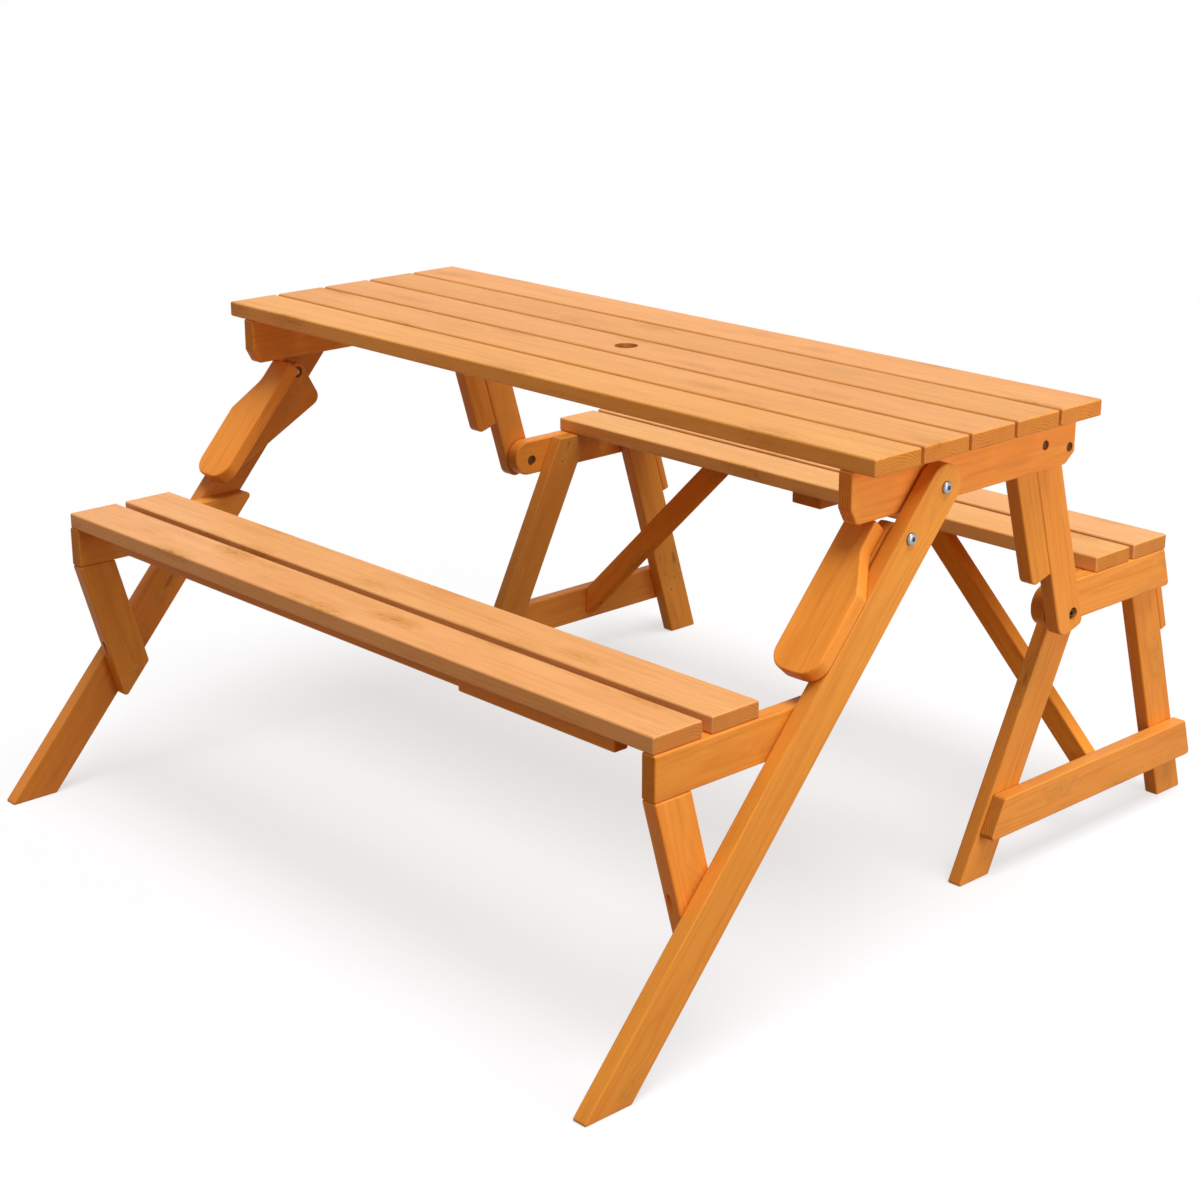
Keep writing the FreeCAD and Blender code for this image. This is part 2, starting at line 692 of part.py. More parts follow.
def front_frame_screw_places():
    """Screws from inside through the seat rail or the brace into the long leg, as (y, z)."""
    rail = []
    brace = []
    middle = seat_rail_bottom + v.frame_board_width / 2
    for step in (-1, 1):
        height = middle + step * v.screw_spread
        rail.append((leg_front(height) + leg_level / 2 - step * v.screw_stagger, height))
    tip_front = front_brace_tip(0)
    tip_rear = front_brace_tip(level_width(v.frame_board_width, v.front_brace_angle))
    for share in BRACE_SCREW_SHARES:
        y = tip_front[0] + (tip_rear[0] - tip_front[0]) * share
        z = tip_front[1] + (tip_rear[1] - tip_front[1]) * share
        brace.append((y - v.screw_spread, z + v.screw_spread))
    return rail, brace


def make_front_seat():
    slats = []
    for index, place in enumerate(("front", "back")):
        front = front_seat_front + index * front_pitch
        half = front_slat_half
        outline = polygon_with_rounds([(-half, front, 0), (half, front, 0),
                                       (half, front + v.seat_slat_width, 0),
                                       (-half, front + v.seat_slat_width, 0)])
        slats.append(add_board(f"front_seat_slat_{place}", "XY_Plane",
                               "Sizes.seat_height - Sizes.board_thickness", outline))
    battens = []
    for name, left, right, front in stretchers():
        outline = polygon_with_rounds([(left, front, 0), (right, front, 0),
                                       (right, front + v.stretcher_width, 0),
                                       (left, front + v.stretcher_width, 0)])
        battens.append(add_board(name, "XY_Plane", "Sizes.seat_height - 2 * Sizes.board_thickness", outline))
    doc.recompute()
    for index, slat in enumerate(slats):
        middle = front_seat_front + index * front_pitch + v.seat_slat_width / 2
        circles = [(x, y, SCREW_BORE) for x, y in front_slat_screw_places() if y == middle]
        bore(slat, "XY_Plane", circles, seat_underside - PAST, seat_underside + v.screw_bite)
    circles = [(x, y, SCREW_BORE) for x, y in stretcher_screw_places()]
    bottom = seat_underside - v.board_thickness
    bore(slats[0], "XY_Plane", circles, seat_underside - PAST, seat_underside + v.screw_bite)
    for batten in battens:
        bore(batten, "XY_Plane", circles, bottom - PAST, seat_underside + PAST)
        heads = [(x, y, v.screw_head) for x, y in stretcher_screw_places()]
        bore(batten, "XY_Plane", heads, bottom - PAST, bottom + v.screw_head_height)

    half_width = v.frame_board_width / 2
    brace_level = level_width(v.frame_board_width, v.front_brace_angle)
    rail_end = v.front_rail_overhang
    rail_screws, brace_screws = front_frame_screw_places()
    for name, side in SIDES.items():
        front_top = Vector(*along(leg_pivot, leg_axis, 0, half_width), 0)
        rear_top = Vector(*along(leg_pivot, leg_axis, 0, -half_width), 0)
        crown = Vector(*along(leg_pivot, leg_axis, half_width), 0)
        front_foot = Vector(leg_front(0), 0, 0)
        rear_foot = Vector(leg_rear(0), 0, 0)
        outline = [Part.Arc(front_top, crown, rear_top), Part.LineSegment(rear_top, rear_foot),
                   Part.LineSegment(rear_foot, front_foot), Part.LineSegment(front_foot, front_top)]
        leg = add_board(f"long_leg_{name}", "YZ_Plane", side_offset(side, leg_face), outline)
        rail = add_board(f"front_seat_rail_{name}", "YZ_Plane", side_offset(side, seat_rail_face),
                         polygon_with_rounds([
                             (front_seat_front, seat_underside, 0),
                             (front_seat_front, seat_rail_bottom, 0),
                             (leg_rear(seat_rail_bottom) + rail_end, seat_rail_bottom, v.end_round),
                             (leg_rear(seat_underside) + rail_end, seat_underside, v.end_round)]))
        brace = add_board(f"front_seat_brace_{name}", "YZ_Plane", side_offset(side, seat_rail_face),
                          polygon_with_rounds([
                              (front_brace_edge(seat_rail_bottom), seat_rail_bottom, 0),
                              (*front_brace_tip(0), v.end_round),
                              (*front_brace_tip(brace_level), v.end_round),
                              (front_brace_edge(seat_rail_bottom) + brace_level, seat_rail_bottom, 0)]))
        doc.recompute()
        outer = x_leg_outer
        bolt = v.pivot_bolt
        bore_across(leg, side, [(*leg_pivot, bolt), (*armrest_pivot, bolt)], x_leg - PAST, outer + PAST)
        places = [(x, y) for x, y in front_slat_screw_places() if x * side > 0]
        bore(rail, "XY_Plane", [(x, y, SCREW_BORE) for x, y in places],
             seat_rail_bottom - PAST, seat_underside + PAST)
        bore(rail, "XY_Plane", [(x, y, v.driver_bore) for x, y in places],
             seat_rail_bottom - PAST, sunk_head(seat_underside))
        front_bore = [(x, y, v.driver_bore) for x, y in places if y < front_seat_front + brace_level]
        bore(brace, "XY_Plane", front_bore, 0, seat_rail_bottom + PAST)
        for board, screws in ((rail, rail_screws), (brace, brace_screws)):
            circles = [(*place, SCREW_BORE) for place in screws]
            bore_across(board, side, circles, x_seat_rail - PAST, x_leg + PAST)
            bore_across(leg, side, circles, x_leg - PAST, x_leg + v.screw_bite)
            heads = [(*place, v.screw_head) for place in screws]
            bore_across(board, side, heads, x_seat_rail - PAST, x_seat_rail + v.screw_head_height)


# The armrests: a board and a tapered bracket, drawn about the armrest pivot with Y up the long leg.


def armrest_placement():
    tilt = FreeCAD.Rotation(Vector(1, 0, 0), 90 - v.long_leg_angle)
    return FreeCAD.Placement(Vector(0, *armrest_pivot), tilt)


# Down the long leg the armrest ends above the front seat's rail. Its parts are shares of its length.
armrest_length = (armrest_pivot[1] - seat_underside) / leg_axis[1] - v.armrest_rail_gap
ARMREST_SCREW_SHARES = (0.23, 0.75)
ARMREST_NECK_SHARE = 0.196
ARMREST_SHOULDER_SHARE = 0.457
armrest_floor = v.frame_board_width / 2 - v.armrest_pivot_lead + v.armrest_rest_gap


def folded_rail_line():
    """Front edge of the folded top's rail beside the armrest bracket: its place level with the pivot
    and its slope, in the armrest's own axes with the armrest level."""
    turn = math.radians(v.full_fold_angle)
    depth = leg_pivot_height - top_rail_bottom
    offset = depth / math.sin(turn)
    rail_slope = -math.cos(turn) / math.sin(turn)
    across = leg_pivot[0] - armrest_pivot[0]
    up = leg_pivot[1] - armrest_pivot[1]
    return across - offset - up * rail_slope, rail_slope


def armrest_screw_places():
    """Distances of the screws from the armrest's pivot, one under the neck and one near the front end."""
    return [-armrest_length * share for share in ARMREST_SCREW_SHARES]


def armrest_screw_start():
    """Top of the screws' heads, a little inside the bracket's thin end."""
    return armrest_floor - v.bracket_toe + v.edge_round


def make_armrests():
    place, rail_slope = folded_rail_line()
    place -= v.bracket_tail_clearance
    depth = v.bracket_depth
    length = armrest_length
    head = v.bracket_head
    toe = v.bracket_toe_setback - length
    taper = v.bracket_tip_length - length
    for name, side in SIDES.items():
        outer = x_leg_outer
        inner = outer - v.armrest_width
        neck = inner + v.armrest_neck_width
        corner = v.armrest_end_round
        top = -v.armrest_head_setback
        round_off = v.armrest_corner_round
        board = add_board(f"armrest_board_{name}", "XY_Plane",
                          "Sizes.frame_board_width / 2 - Sizes.armrest_pivot_lead + Sizes.armrest_rest_gap",
                          polygon_with_rounds([(side * x, y, r) for x, y, r in (
                              (inner, top, round_off), (neck, top, round_off),
                              (neck, -length * ARMREST_NECK_SHARE, v.armrest_neck_round),
                              (outer, -length * ARMREST_SHOULDER_SHARE, v.armrest_shoulder_round),
                              (outer, -length, corner), (inner, -length, corner))]))
        bracket = add_board(f"armrest_bracket_{name}", "YZ_Plane", side_offset(side, top_rail_face),
                            polygon_with_rounds([
                                (toe, armrest_floor, 0),
                                (toe, armrest_floor - v.bracket_toe, round_off),
                                (taper, armrest_floor - v.bracket_toe, v.bracket_taper_round),
                                (place - rail_slope * depth, -depth, v.bracket_tail_round),
                                (place, 0, v.corner_round),
                                (head * leg_axis[0], head * leg_axis[1], v.end_round),
                                (top, armrest_floor, 0)]))
        for body in (board, bracket):
            body.Placement = armrest_placement()
        doc.recompute()
        outer_face = x_top_rail + v.board_thickness
        bore_across(bracket, side, [(0, 0, v.pivot_bolt + 2 * v.pivot_clearance)],
                    x_top_rail - PAST, outer_face + PAST)
        bore_across(bracket, side, [(0, 0, v.recess_diameter)], x_top_rail - PAST,
                    x_top_rail + v.recess_depth)
        x_screw = side * (x_top_rail + v.board_thickness / 2)
        circles = [(x_screw, y, SCREW_BORE) for y in armrest_screw_places()]
        bore(bracket, "XY_Plane", circles, -depth, armrest_floor + PAST)
        heads = [(x_screw, y, v.driver_bore) for y in armrest_screw_places()]
        bore(bracket, "XY_Plane", heads, -depth, armrest_screw_start() + v.screw_head_height)
        bore(board, "XY_Plane", circles, armrest_floor - PAST, armrest_floor + v.screw_bite)


# Fasteners. Each group of like fasteners is one set of separate solids.


def hexagon(across):
    radius = across / math.sqrt(3)
    return [Vector(radius * math.cos(math.radians(a)), radius * math.sin(math.radians(a)), 0)
            for a in range(0, 361, 60)]


def round_head(diameter, height, rim_round):
    """Head of a bolt below zero, rounded at its outer rim."""
    head = Part.makeCylinder(diameter / 2, height, Vector(0, 0, -height))
    rim = [edge for edge in head.Edges if abs(edge.BoundBox.ZMax + height) < 1e-6]
    return head.makeFillet(rim_round, rim)


def pivot_bolt(shank, thread):
    """Dome-headed bolt along +Z: the head lies below zero, the shank runs up from it."""
    head = round_head(v.bolt_head, v.bolt_head_height, v.bolt_dome_round)
    socket = Part.Face(Part.makePolygon(hexagon(v.bolt_socket))).extrude(Vector(0, 0, v.bolt_socket_depth))
    socket.translate(Vector(0, 0, -v.bolt_head_height))
    return head.cut(socket).fuse(Part.makeCylinder(thread / 2, shank)).removeSplitter()


def nut(across, height, bore_size):
    body = Part.Face(Part.makePolygon(hexagon(across))).extrude(Vector(0, 0, height))
    crown = Part.makeCone(across / 2 + height, across / 2, height)
    body = body.common(crown)
    return body.cut(Part.makeCylinder(bore_size / 2, height))


def washer(outer, bore_size, height):
    return Part.makeCylinder(outer / 2, height).cut(Part.makeCylinder(bore_size / 2, height))


def wood_screw(length):
    """Countersunk screw along +Z with the top of its head at zero."""
    top = v.screw_head / 2
    shank = v.screw_diameter / 2
    rim = v.screw_head_height / 2
    long_side = v.screw_slot
    short_side = v.screw_slot_width
    head = Part.makeCylinder(top, rim)
    cone = Part.makeCone(top, shank, rim, Vector(0, 0, rim))
    body = Part.makeCylinder(shank, length - shank)
    point = Part.makeCone(shank, v.screw_point / 2, shank, Vector(0, 0, length - shank))
    slot = Part.makeBox(long_side, short_side, short_side, Vector(-long_side / 2, -short_side / 2, 0))
    cross = Part.makeBox(short_side, long_side, short_side, Vector(-short_side / 2, -long_side / 2, 0))
    return head.fuse([cone, body, point]).removeSplitter().cut(slot.fuse(cross))


def turned(shape, start, axis):
    """Copy of a fastener moved to a start point with its +Z along an axis."""
    copy = shape.copy()
    copy.Placement = FreeCAD.Placement(Vector(*start), FreeCAD.Rotation(Vector(0, 0, 1), Vector(*axis)))
    return copy


def add_group(name, shapes, placement=None):
    feature = doc.addObject("Part::Feature", name)
    feature.Label = name
    feature.Shape = Part.makeCompound(shapes)
    if placement:
        feature.Placement = placement
    return feature


def make_pivots():
    """Bolts, nuts and washers of the three pairs of pivots."""
    outer = x_leg_outer
    washer_bore = v.pivot_bolt + 2 * v.pivot_clearance
    gap = v.pivot_gap
    spare = v.seating_gap
    leg_shank = outer - x_top_rail + v.nut_height + spare
    leg_bolt = pivot_bolt(leg_shank, v.pivot_bolt)
    arm_shank = outer - x_top_rail - v.recess_depth + v.nut_height + spare
    arm_bolt = pivot_bolt(arm_shank, v.pivot_bolt)
    fold_start = x_link_arm + v.board_thickness - v.recess_depth + v.bolt_head_height
    fold_end = x_rear_rail + v.recess_depth - v.nut_height
    fold_bolt = pivot_bolt(fold_start - v.bolt_head_height - fold_end, v.pivot_bolt)
    pivot_nut = nut(v.nut_across, v.nut_height, v.pivot_bolt)
    leg_washer = washer(v.washer_diameter, washer_bore, gap - spare)
    fold_washer = washer(v.washer_diameter, washer_bore, v.link_gap - spare)
    parts = {"leg_pivot_bolts": [], "armrest_pivot_bolts": [], "long_leg_nuts": [], "long_leg_washers": [],
             "fold_pivot_bolts": [], "fold_pivot_nuts": [], "fold_pivot_washers": []}
    for side in SIDES.values():
        inward = (-side, 0, 0)
        for key, pivot, bolt, nut_start in (
                ("leg", leg_pivot, leg_bolt, x_top_rail - spare),
                ("armrest", armrest_pivot, arm_bolt, x_top_rail + v.recess_depth - spare)):
            parts[f"{key}_pivot_bolts"].append(turned(bolt, (side * outer, *pivot), inward))
            parts["long_leg_nuts"].append(turned(pivot_nut, (side * nut_start, *pivot), inward))
            parts["long_leg_washers"].append(turned(leg_washer, (side * x_leg, *pivot), inward))
        head_seat = x_link_arm + v.board_thickness - v.recess_depth + spare
        parts["fold_pivot_bolts"].append(turned(fold_bolt, (side * head_seat, *fold_pivot), inward))
        nut_start = x_rear_rail + v.recess_depth
        parts["fold_pivot_nuts"].append(turned(pivot_nut, (side * nut_start, *fold_pivot), inward))
        washer_start = x_rear_rail + v.board_thickness
        outward = (side, 0, 0)
        parts["fold_pivot_washers"].append(turned(fold_washer, (side * washer_start, *fold_pivot), outward))
    for name, shapes in parts.items():
        add_group(name, shapes)


def make_link_bolts():
    outer = x_top_rail + v.board_thickness - v.link_recess_depth
    inner = x_link_arm + v.link_recess_depth
    length = outer - inner + v.link_nut_height + v.seating_gap
    head = round_head(v.link_bolt_head, v.link_bolt_head_height, v.link_bolt_round)
    bolt = head.fuse(Part.makeCylinder(v.link_bolt / 2, length)).removeSplitter()
    link_nut = nut(v.link_nut_across, v.link_nut_height, v.link_bolt)
    bolts = []
    nuts = []
    for side in SIDES.values():
        for place in link_bolt_places():
            bolts.append(turned(bolt, (side * outer, *place), (-side, 0, 0)))
            nuts.append(turned(link_nut, (side * inner, *place), (-side, 0, 0)))
    add_group("link_arm_bolts", bolts)
    add_group("link_arm_nuts", nuts)


def make_dowels():
    """Wooden pins between the top's slats, with a little room at both ends."""
    spare = v.dowel_bite - v.seating_gap
    dowel = Part.makeCylinder(v.dowel_diameter / 2, v.top_slat_gap + 2 * spare)
    height = (top_underside + v.table_height) / 2
    dowels = [turned(dowel, (0, gap_front - spare, height), (0, 1, 0)) for gap_front in top_gap_fronts()]
    add_group("top_slat_dowels", dowels)


def make_screws():
    bite = v.screw_bite - v.seating_gap
    up = (0, 0, 1)
    short = wood_screw(v.board_thickness + bite)
    deep = wood_screw(v.screw_sink + bite)

    top = [turned(deep, (x, y, top_underside - v.screw_sink), up) for x, y in top_screw_places()]
    add_group("top_slat_screws", top)

    rear = []
    for x, y in rear_slat_screw_places():
        if abs(x) < v.batten_width:
            rear.append(turned(short, (x, y, seat_underside - v.board_thickness), up))
        else:
            rear.append(turned(deep, (x, y, seat_underside - v.screw_sink), up))
    add_group("rear_slat_screws", rear)

    front = [turned(deep, (x, y, seat_underside - v.screw_sink), up)
             for x, y in front_slat_screw_places()]
    front += [turned(short, (x, y, seat_underside - v.board_thickness), up)
              for x, y in stretcher_screw_places()]
    add_group("front_slat_screws", front)

    frame = []
    joints = rear_frame_screw_places()
    for side in SIDES.values():
        for place in joints["front_leg"] + joints["back_leg"]:
            frame.append(turned(short, (side * x_rear_leg, *place), (side, 0, 0)))
    add_group("rear_frame_screws", frame)

    braces = []
    middle = rear_brace_front + v.board_thickness / 2
    for side in SIDES.values():
        braces.append(turned(deep, (side * brace_top, middle, seat_underside - v.screw_sink), up))
        foot = (side * (x_rear_rail - v.screw_sink), middle, v.rear_brace_foot_height)
        braces.append(turned(deep, foot, (side, 0, 0)))
    add_group("rear_brace_screws", braces)

    frame = []
    rail_screws, brace_screws = front_frame_screw_places()
    for side in SIDES.values():
        for place in rail_screws + brace_screws:
            frame.append(turned(short, (side * x_seat_rail, *place), (side, 0, 0)))
    add_group("front_frame_screws", frame)

    start = armrest_screw_start()
    arm_screw = wood_screw(armrest_floor - start + bite)
    for name, side in SIDES.items():
        x_screw = side * (x_top_rail + v.board_thickness / 2)
        screws = [turned(arm_screw, (x_screw, y, start), up) for y in armrest_screw_places()]
        add_group(f"armrest_screws_{name}", screws, armrest_placement())


def write_parts():
    doc.recompute()
    for item in doc.Objects:
        assert not {"Invalid", "Error"} & set(item.State), f"{item.Label}: {item.State}"
    nodes = [item for item in doc.Objects
             if item.isDerivedFrom("PartDesign::Body") or item.TypeId == "Part::Feature"]
    for item in nodes:
        assert not item.Shape.isNull() and item.Shape.isValid(), f"{item.Label}: bad shape"
    os.makedirs("parts", exist_ok=True)
    for item in nodes:
        item.Shape.exportStep(f"parts/{item.Label}.step")
    print(len(nodes), "nodes written")


make_top()
make_link_arms()
make_rear_bench()
make_front_seat()
make_armrests()
make_pivots()
make_link_bolts()
make_dowels()
make_screws()
write_parts()
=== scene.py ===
import bpy
import math
import random
from collections import namedtuple
from mathutils import Matrix, Vector


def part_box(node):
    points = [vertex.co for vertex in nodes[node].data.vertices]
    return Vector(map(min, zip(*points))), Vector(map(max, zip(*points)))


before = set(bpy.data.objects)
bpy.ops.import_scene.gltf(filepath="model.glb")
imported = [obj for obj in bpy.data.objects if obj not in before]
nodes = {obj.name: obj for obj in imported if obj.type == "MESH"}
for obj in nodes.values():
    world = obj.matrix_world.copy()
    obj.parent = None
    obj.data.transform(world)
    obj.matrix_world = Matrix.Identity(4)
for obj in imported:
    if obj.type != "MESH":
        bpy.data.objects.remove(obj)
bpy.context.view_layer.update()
scene = bpy.context.scene
scene.view_settings.view_transform = "Standard"

# The camera stands where the photograph was taken: its place in metres, its turn and drop in degrees, and
# its lens.
CAMERA_PLACE = (2.5174, -2.4130, 1.4995)
CAMERA_TURN = 46.79
CAMERA_DROP = 18.32
FOCAL_PIXELS = 2353.1
FRAME_PIXELS = 1200
SENSOR_MM = 36

WHITE = "#FFFFFF"


def add_camera():
    data = bpy.data.cameras.new("camera")
    data.sensor_width = SENSOR_MM
    data.lens = FOCAL_PIXELS / FRAME_PIXELS * SENSOR_MM
    camera = bpy.data.objects.new("camera", data)
    camera.location = CAMERA_PLACE
    camera.rotation_euler = (math.radians(90 - CAMERA_DROP), 0, math.radians(CAMERA_TURN))
    scene.collection.objects.link(camera)
    scene.camera = camera


def linear(code):
    """Linear colour of an sRGB hex code."""
    channels = [int(code[i:i + 2], 16) / 255 for i in (1, 3, 5)]
    return [c / 12.92 if c <= 0.04045 else ((c + 0.055) / 1.055) ** 2.4 for c in channels] + [1]


def fill(tree, socket, value):
    """Links an input to another node's output, or sets it to a plain value."""
    if isinstance(value, bpy.types.NodeSocket):
        tree.links.new(value, socket)
    else:
        socket.default_value = value


def add_node(tree, kind, settings=None, **inputs):
    """Adds a node, sets its properties, and fills its inputs by name, or by number as i0, i1 and so on."""
    node = tree.nodes.new(kind)
    for key, value in (settings or {}).items():
        setattr(node, key, value)
    for key, value in inputs.items():
        numbered = key[0] == "i" and key[1:].isdigit()
        place = int(key[1:]) if numbered else key.replace("_", " ")
        fill(tree, node.inputs[place], value)
    return node


def math_node(tree, operation, first, second=0.0, third=0.0):
    node = add_node(tree, "ShaderNodeMath", {"operation": operation}, i0=first, i1=second, i2=third)
    return node.outputs[0]


def multiply(tree, first, second):
    return math_node(tree, "MULTIPLY", first, second)


def multiply_add(tree, value, factor, added):
    return math_node(tree, "MULTIPLY_ADD", value, factor, added)


def ramp(tree, value, low, high, to_low=0.0, to_high=1.0):
    """Smooth step of a value from one range to another."""
    node = add_node(tree, "ShaderNodeMapRange", {"interpolation_type": "SMOOTHSTEP"}, i0=value, i1=low,
                    i2=high, i3=to_low, i4=to_high)
    return node.outputs[0]


def mix(tree, share, first, second):
    """The first colour with a share of the second."""
    node = add_node(tree, "ShaderNodeMix", {"data_type": "RGBA"}, i0=share, i6=first, i7=second)
    return node.outputs[2]


def new_material(name):
    material = bpy.data.materials.new(name)
    material.use_nodes = True
    return material, material.node_tree, material.node_tree.nodes["Principled BSDF"]


# Softwood under a honey-orange stain: early and late wood of the frame's boards; of the top, made paler as
# painted light for the stronger light that falls on its upward faces; and of the seats, palest as painted
# light for the sheen and light that the table above keeps off them.
FRAME_STAIN = ("#E8973C", "#CC7524")
TOP_STAIN_WITH_PAINTED_LIGHT = ("#ECA557", "#D2883D")
SEAT_STAIN_WITH_PAINTED_LIGHT = ("#F4B36A", "#D8944A")
KNOT = "#9A4F1C"
KNOT_FLECK = "#C77829"
KNOT_SURROUND = "#D08E3C"
END_GRAIN = "#CC7C2C"

# How far one board may differ from the next, as factors.
BRIGHTNESS_RANGE = (0.96, 1.05)
WARMTH_RANGE = (0.97, 1.06)
PALLOR_RANGE = (0.95, 1.25)

# The figure of the wood: each layer's size along, across and through the board in metres, the shift that
# keeps it apart from the others, the noise's detail and roughness, the noise values between which the layer
# comes in, and its least and greatest share.
Figure = namedtuple("Figure", "size shift detail roughness fade share", defaults=(2.0, 0.5, None, None))
FIGURES = {
    "slow bend": Figure((0.5, 0.07, 0.07), 0),
    "short bend": Figure((0.09, 0.012, 0.012), 7),
    "late wood": Figure((0.25, 0.02, 0.02), 11, fade=(0.3, 0.7), share=(0.35, 1.0)),
    "fibre": Figure((0.045, 0.0011, 0.0011), 13, 3.0, 0.6, (0.45, 0.75), (0.0, 0.16)),
    "patch": Figure((0.35, 0.06, 0.06), 17, 3.0, 0.5, (0.35, 0.7), (0.0, 0.35)),
    "blotch": Figure((0.03, 0.02, 0.02), 19, 4.0, 0.6, (0.5, 0.8), (0.0, 0.22)),
    "streak": Figure((0.14, 0.010, 0.010), 23, 3.0, 0.6, (0.5, 0.75), (0.0, 0.35)),
    "knot fleck": Figure((0.014, 0.004, 0.004), 29, fade=(0.5, 0.64), share=(0.0, 0.65)),
}
FIGURE_SPREAD = 50

# Growth rings: their spacing, the depth and the sideways reach of the pith, and how far noise bends the
# rings, in metres. The rings bend by a number of spacings round a knot.
RING_SPACING = 0.0042
PITH_DEPTH = 0.035
PITH_DEPTH_RANGE = (0.8, 1.8)
PITH_SIDE = 0.03
SLOW_BEND = 0.02
SHORT_BEND = 0.0014
KNOT_BEND = 2.2
LATE_SHARPNESS = 2.6
LATE_SHARE = 0.38

# Knots: the size of the cells that hold one knot each, the distances in a cell between which a knot's core
# and its surround come in, and their shares.
KNOT_CELL = (0.2, 0.062, 0.062)
KNOT_SHIFT = 3
KNOT_CORE = (0.09, 0.045)
KNOT_HALO = (0.38, 0.07)
KNOT_SHARE = 0.55
KNOT_SURROUND_SHARE = 0.6

# Brightness, warmth and pallor of the layers beside the board's own, as factors.
PATCH_BRIGHTNESS = 1.1
PATCH_WARMTH = 0.96
STREAK_BRIGHTNESS = 0.9
FIBRE_BRIGHTNESS = 0.85
BLOTCH_SHADE = (1.12, 1.1, 1.4)
END_RING_SHADE = (0.6, 0.9)

# Sawn ends: how square to the grain a face must be, and the share of the end grain's colour.
END_FACING = (0.75, 0.95)
END_SHARE = 0.8

# Surface of the stained wood: roughness with what fibres and sawn ends add, relief, and a thin satin coat.
WOOD_ROUGHNESS = 0.36
FIBRE_ROUGHNESS = 0.22
END_ROUGHNESS = 0.2
LATE_RELIEF = 0.35
KNOT_RELIEF = 0.5
RELIEF_STRENGTH = 0.35
RELIEF_HEIGHT = 0.0006
WOOD_SPECULAR = 0.10
COAT_WEIGHT = 0.2
COAT_IOR = 1.3
COAT_ROUGHNESS = 0.35


def shade(code, brightness, warmth, pallor=1.0):
    """A stain colour made lighter or darker, redder or yellower, and paler, for one board."""
    red, green, blue, alpha = linear(code)
    yellow = brightness * warmth
    return [min(1, red * brightness), green * yellow, blue * yellow * pallor, alpha]


def growth_rings(tree, local, noise, layer, knot_halo, chance):
    """Share of late wood, in rings round a pith off the board, bent by noise and round the knots."""
    parts = add_node(tree, "ShaderNodeSeparateXYZ", Vector=local)
    pith_side = chance.uniform(-PITH_SIDE, PITH_SIDE)
    pith_depth = PITH_DEPTH * chance.choice((-1, 1)) * chance.uniform(*PITH_DEPTH_RANGE)
    side = math_node(tree, "ADD", parts.outputs[1], pith_side)
    depth = math_node(tree, "ADD", parts.outputs[2], pith_depth)
    square = multiply_add(tree, side, side, multiply(tree, depth, depth))
    radius = math_node(tree, "SQRT", square)
    radius = multiply_add(tree, noise("slow bend"), SLOW_BEND, radius)
    radius = multiply_add(tree, noise("short bend"), SHORT_BEND, radius)
    radius = multiply_add(tree, knot_halo, RING_SPACING * KNOT_BEND, radius)
    turns = math_node(tree, "DIVIDE", radius, RING_SPACING / (2 * math.pi))
    wave = multiply_add(tree, math_node(tree, "SINE", turns), 0.5, 0.5)
    late = math_node(tree, "POWER", wave, LATE_SHARPNESS)
    return multiply(tree, late, layer("late wood", noise("late wood")))


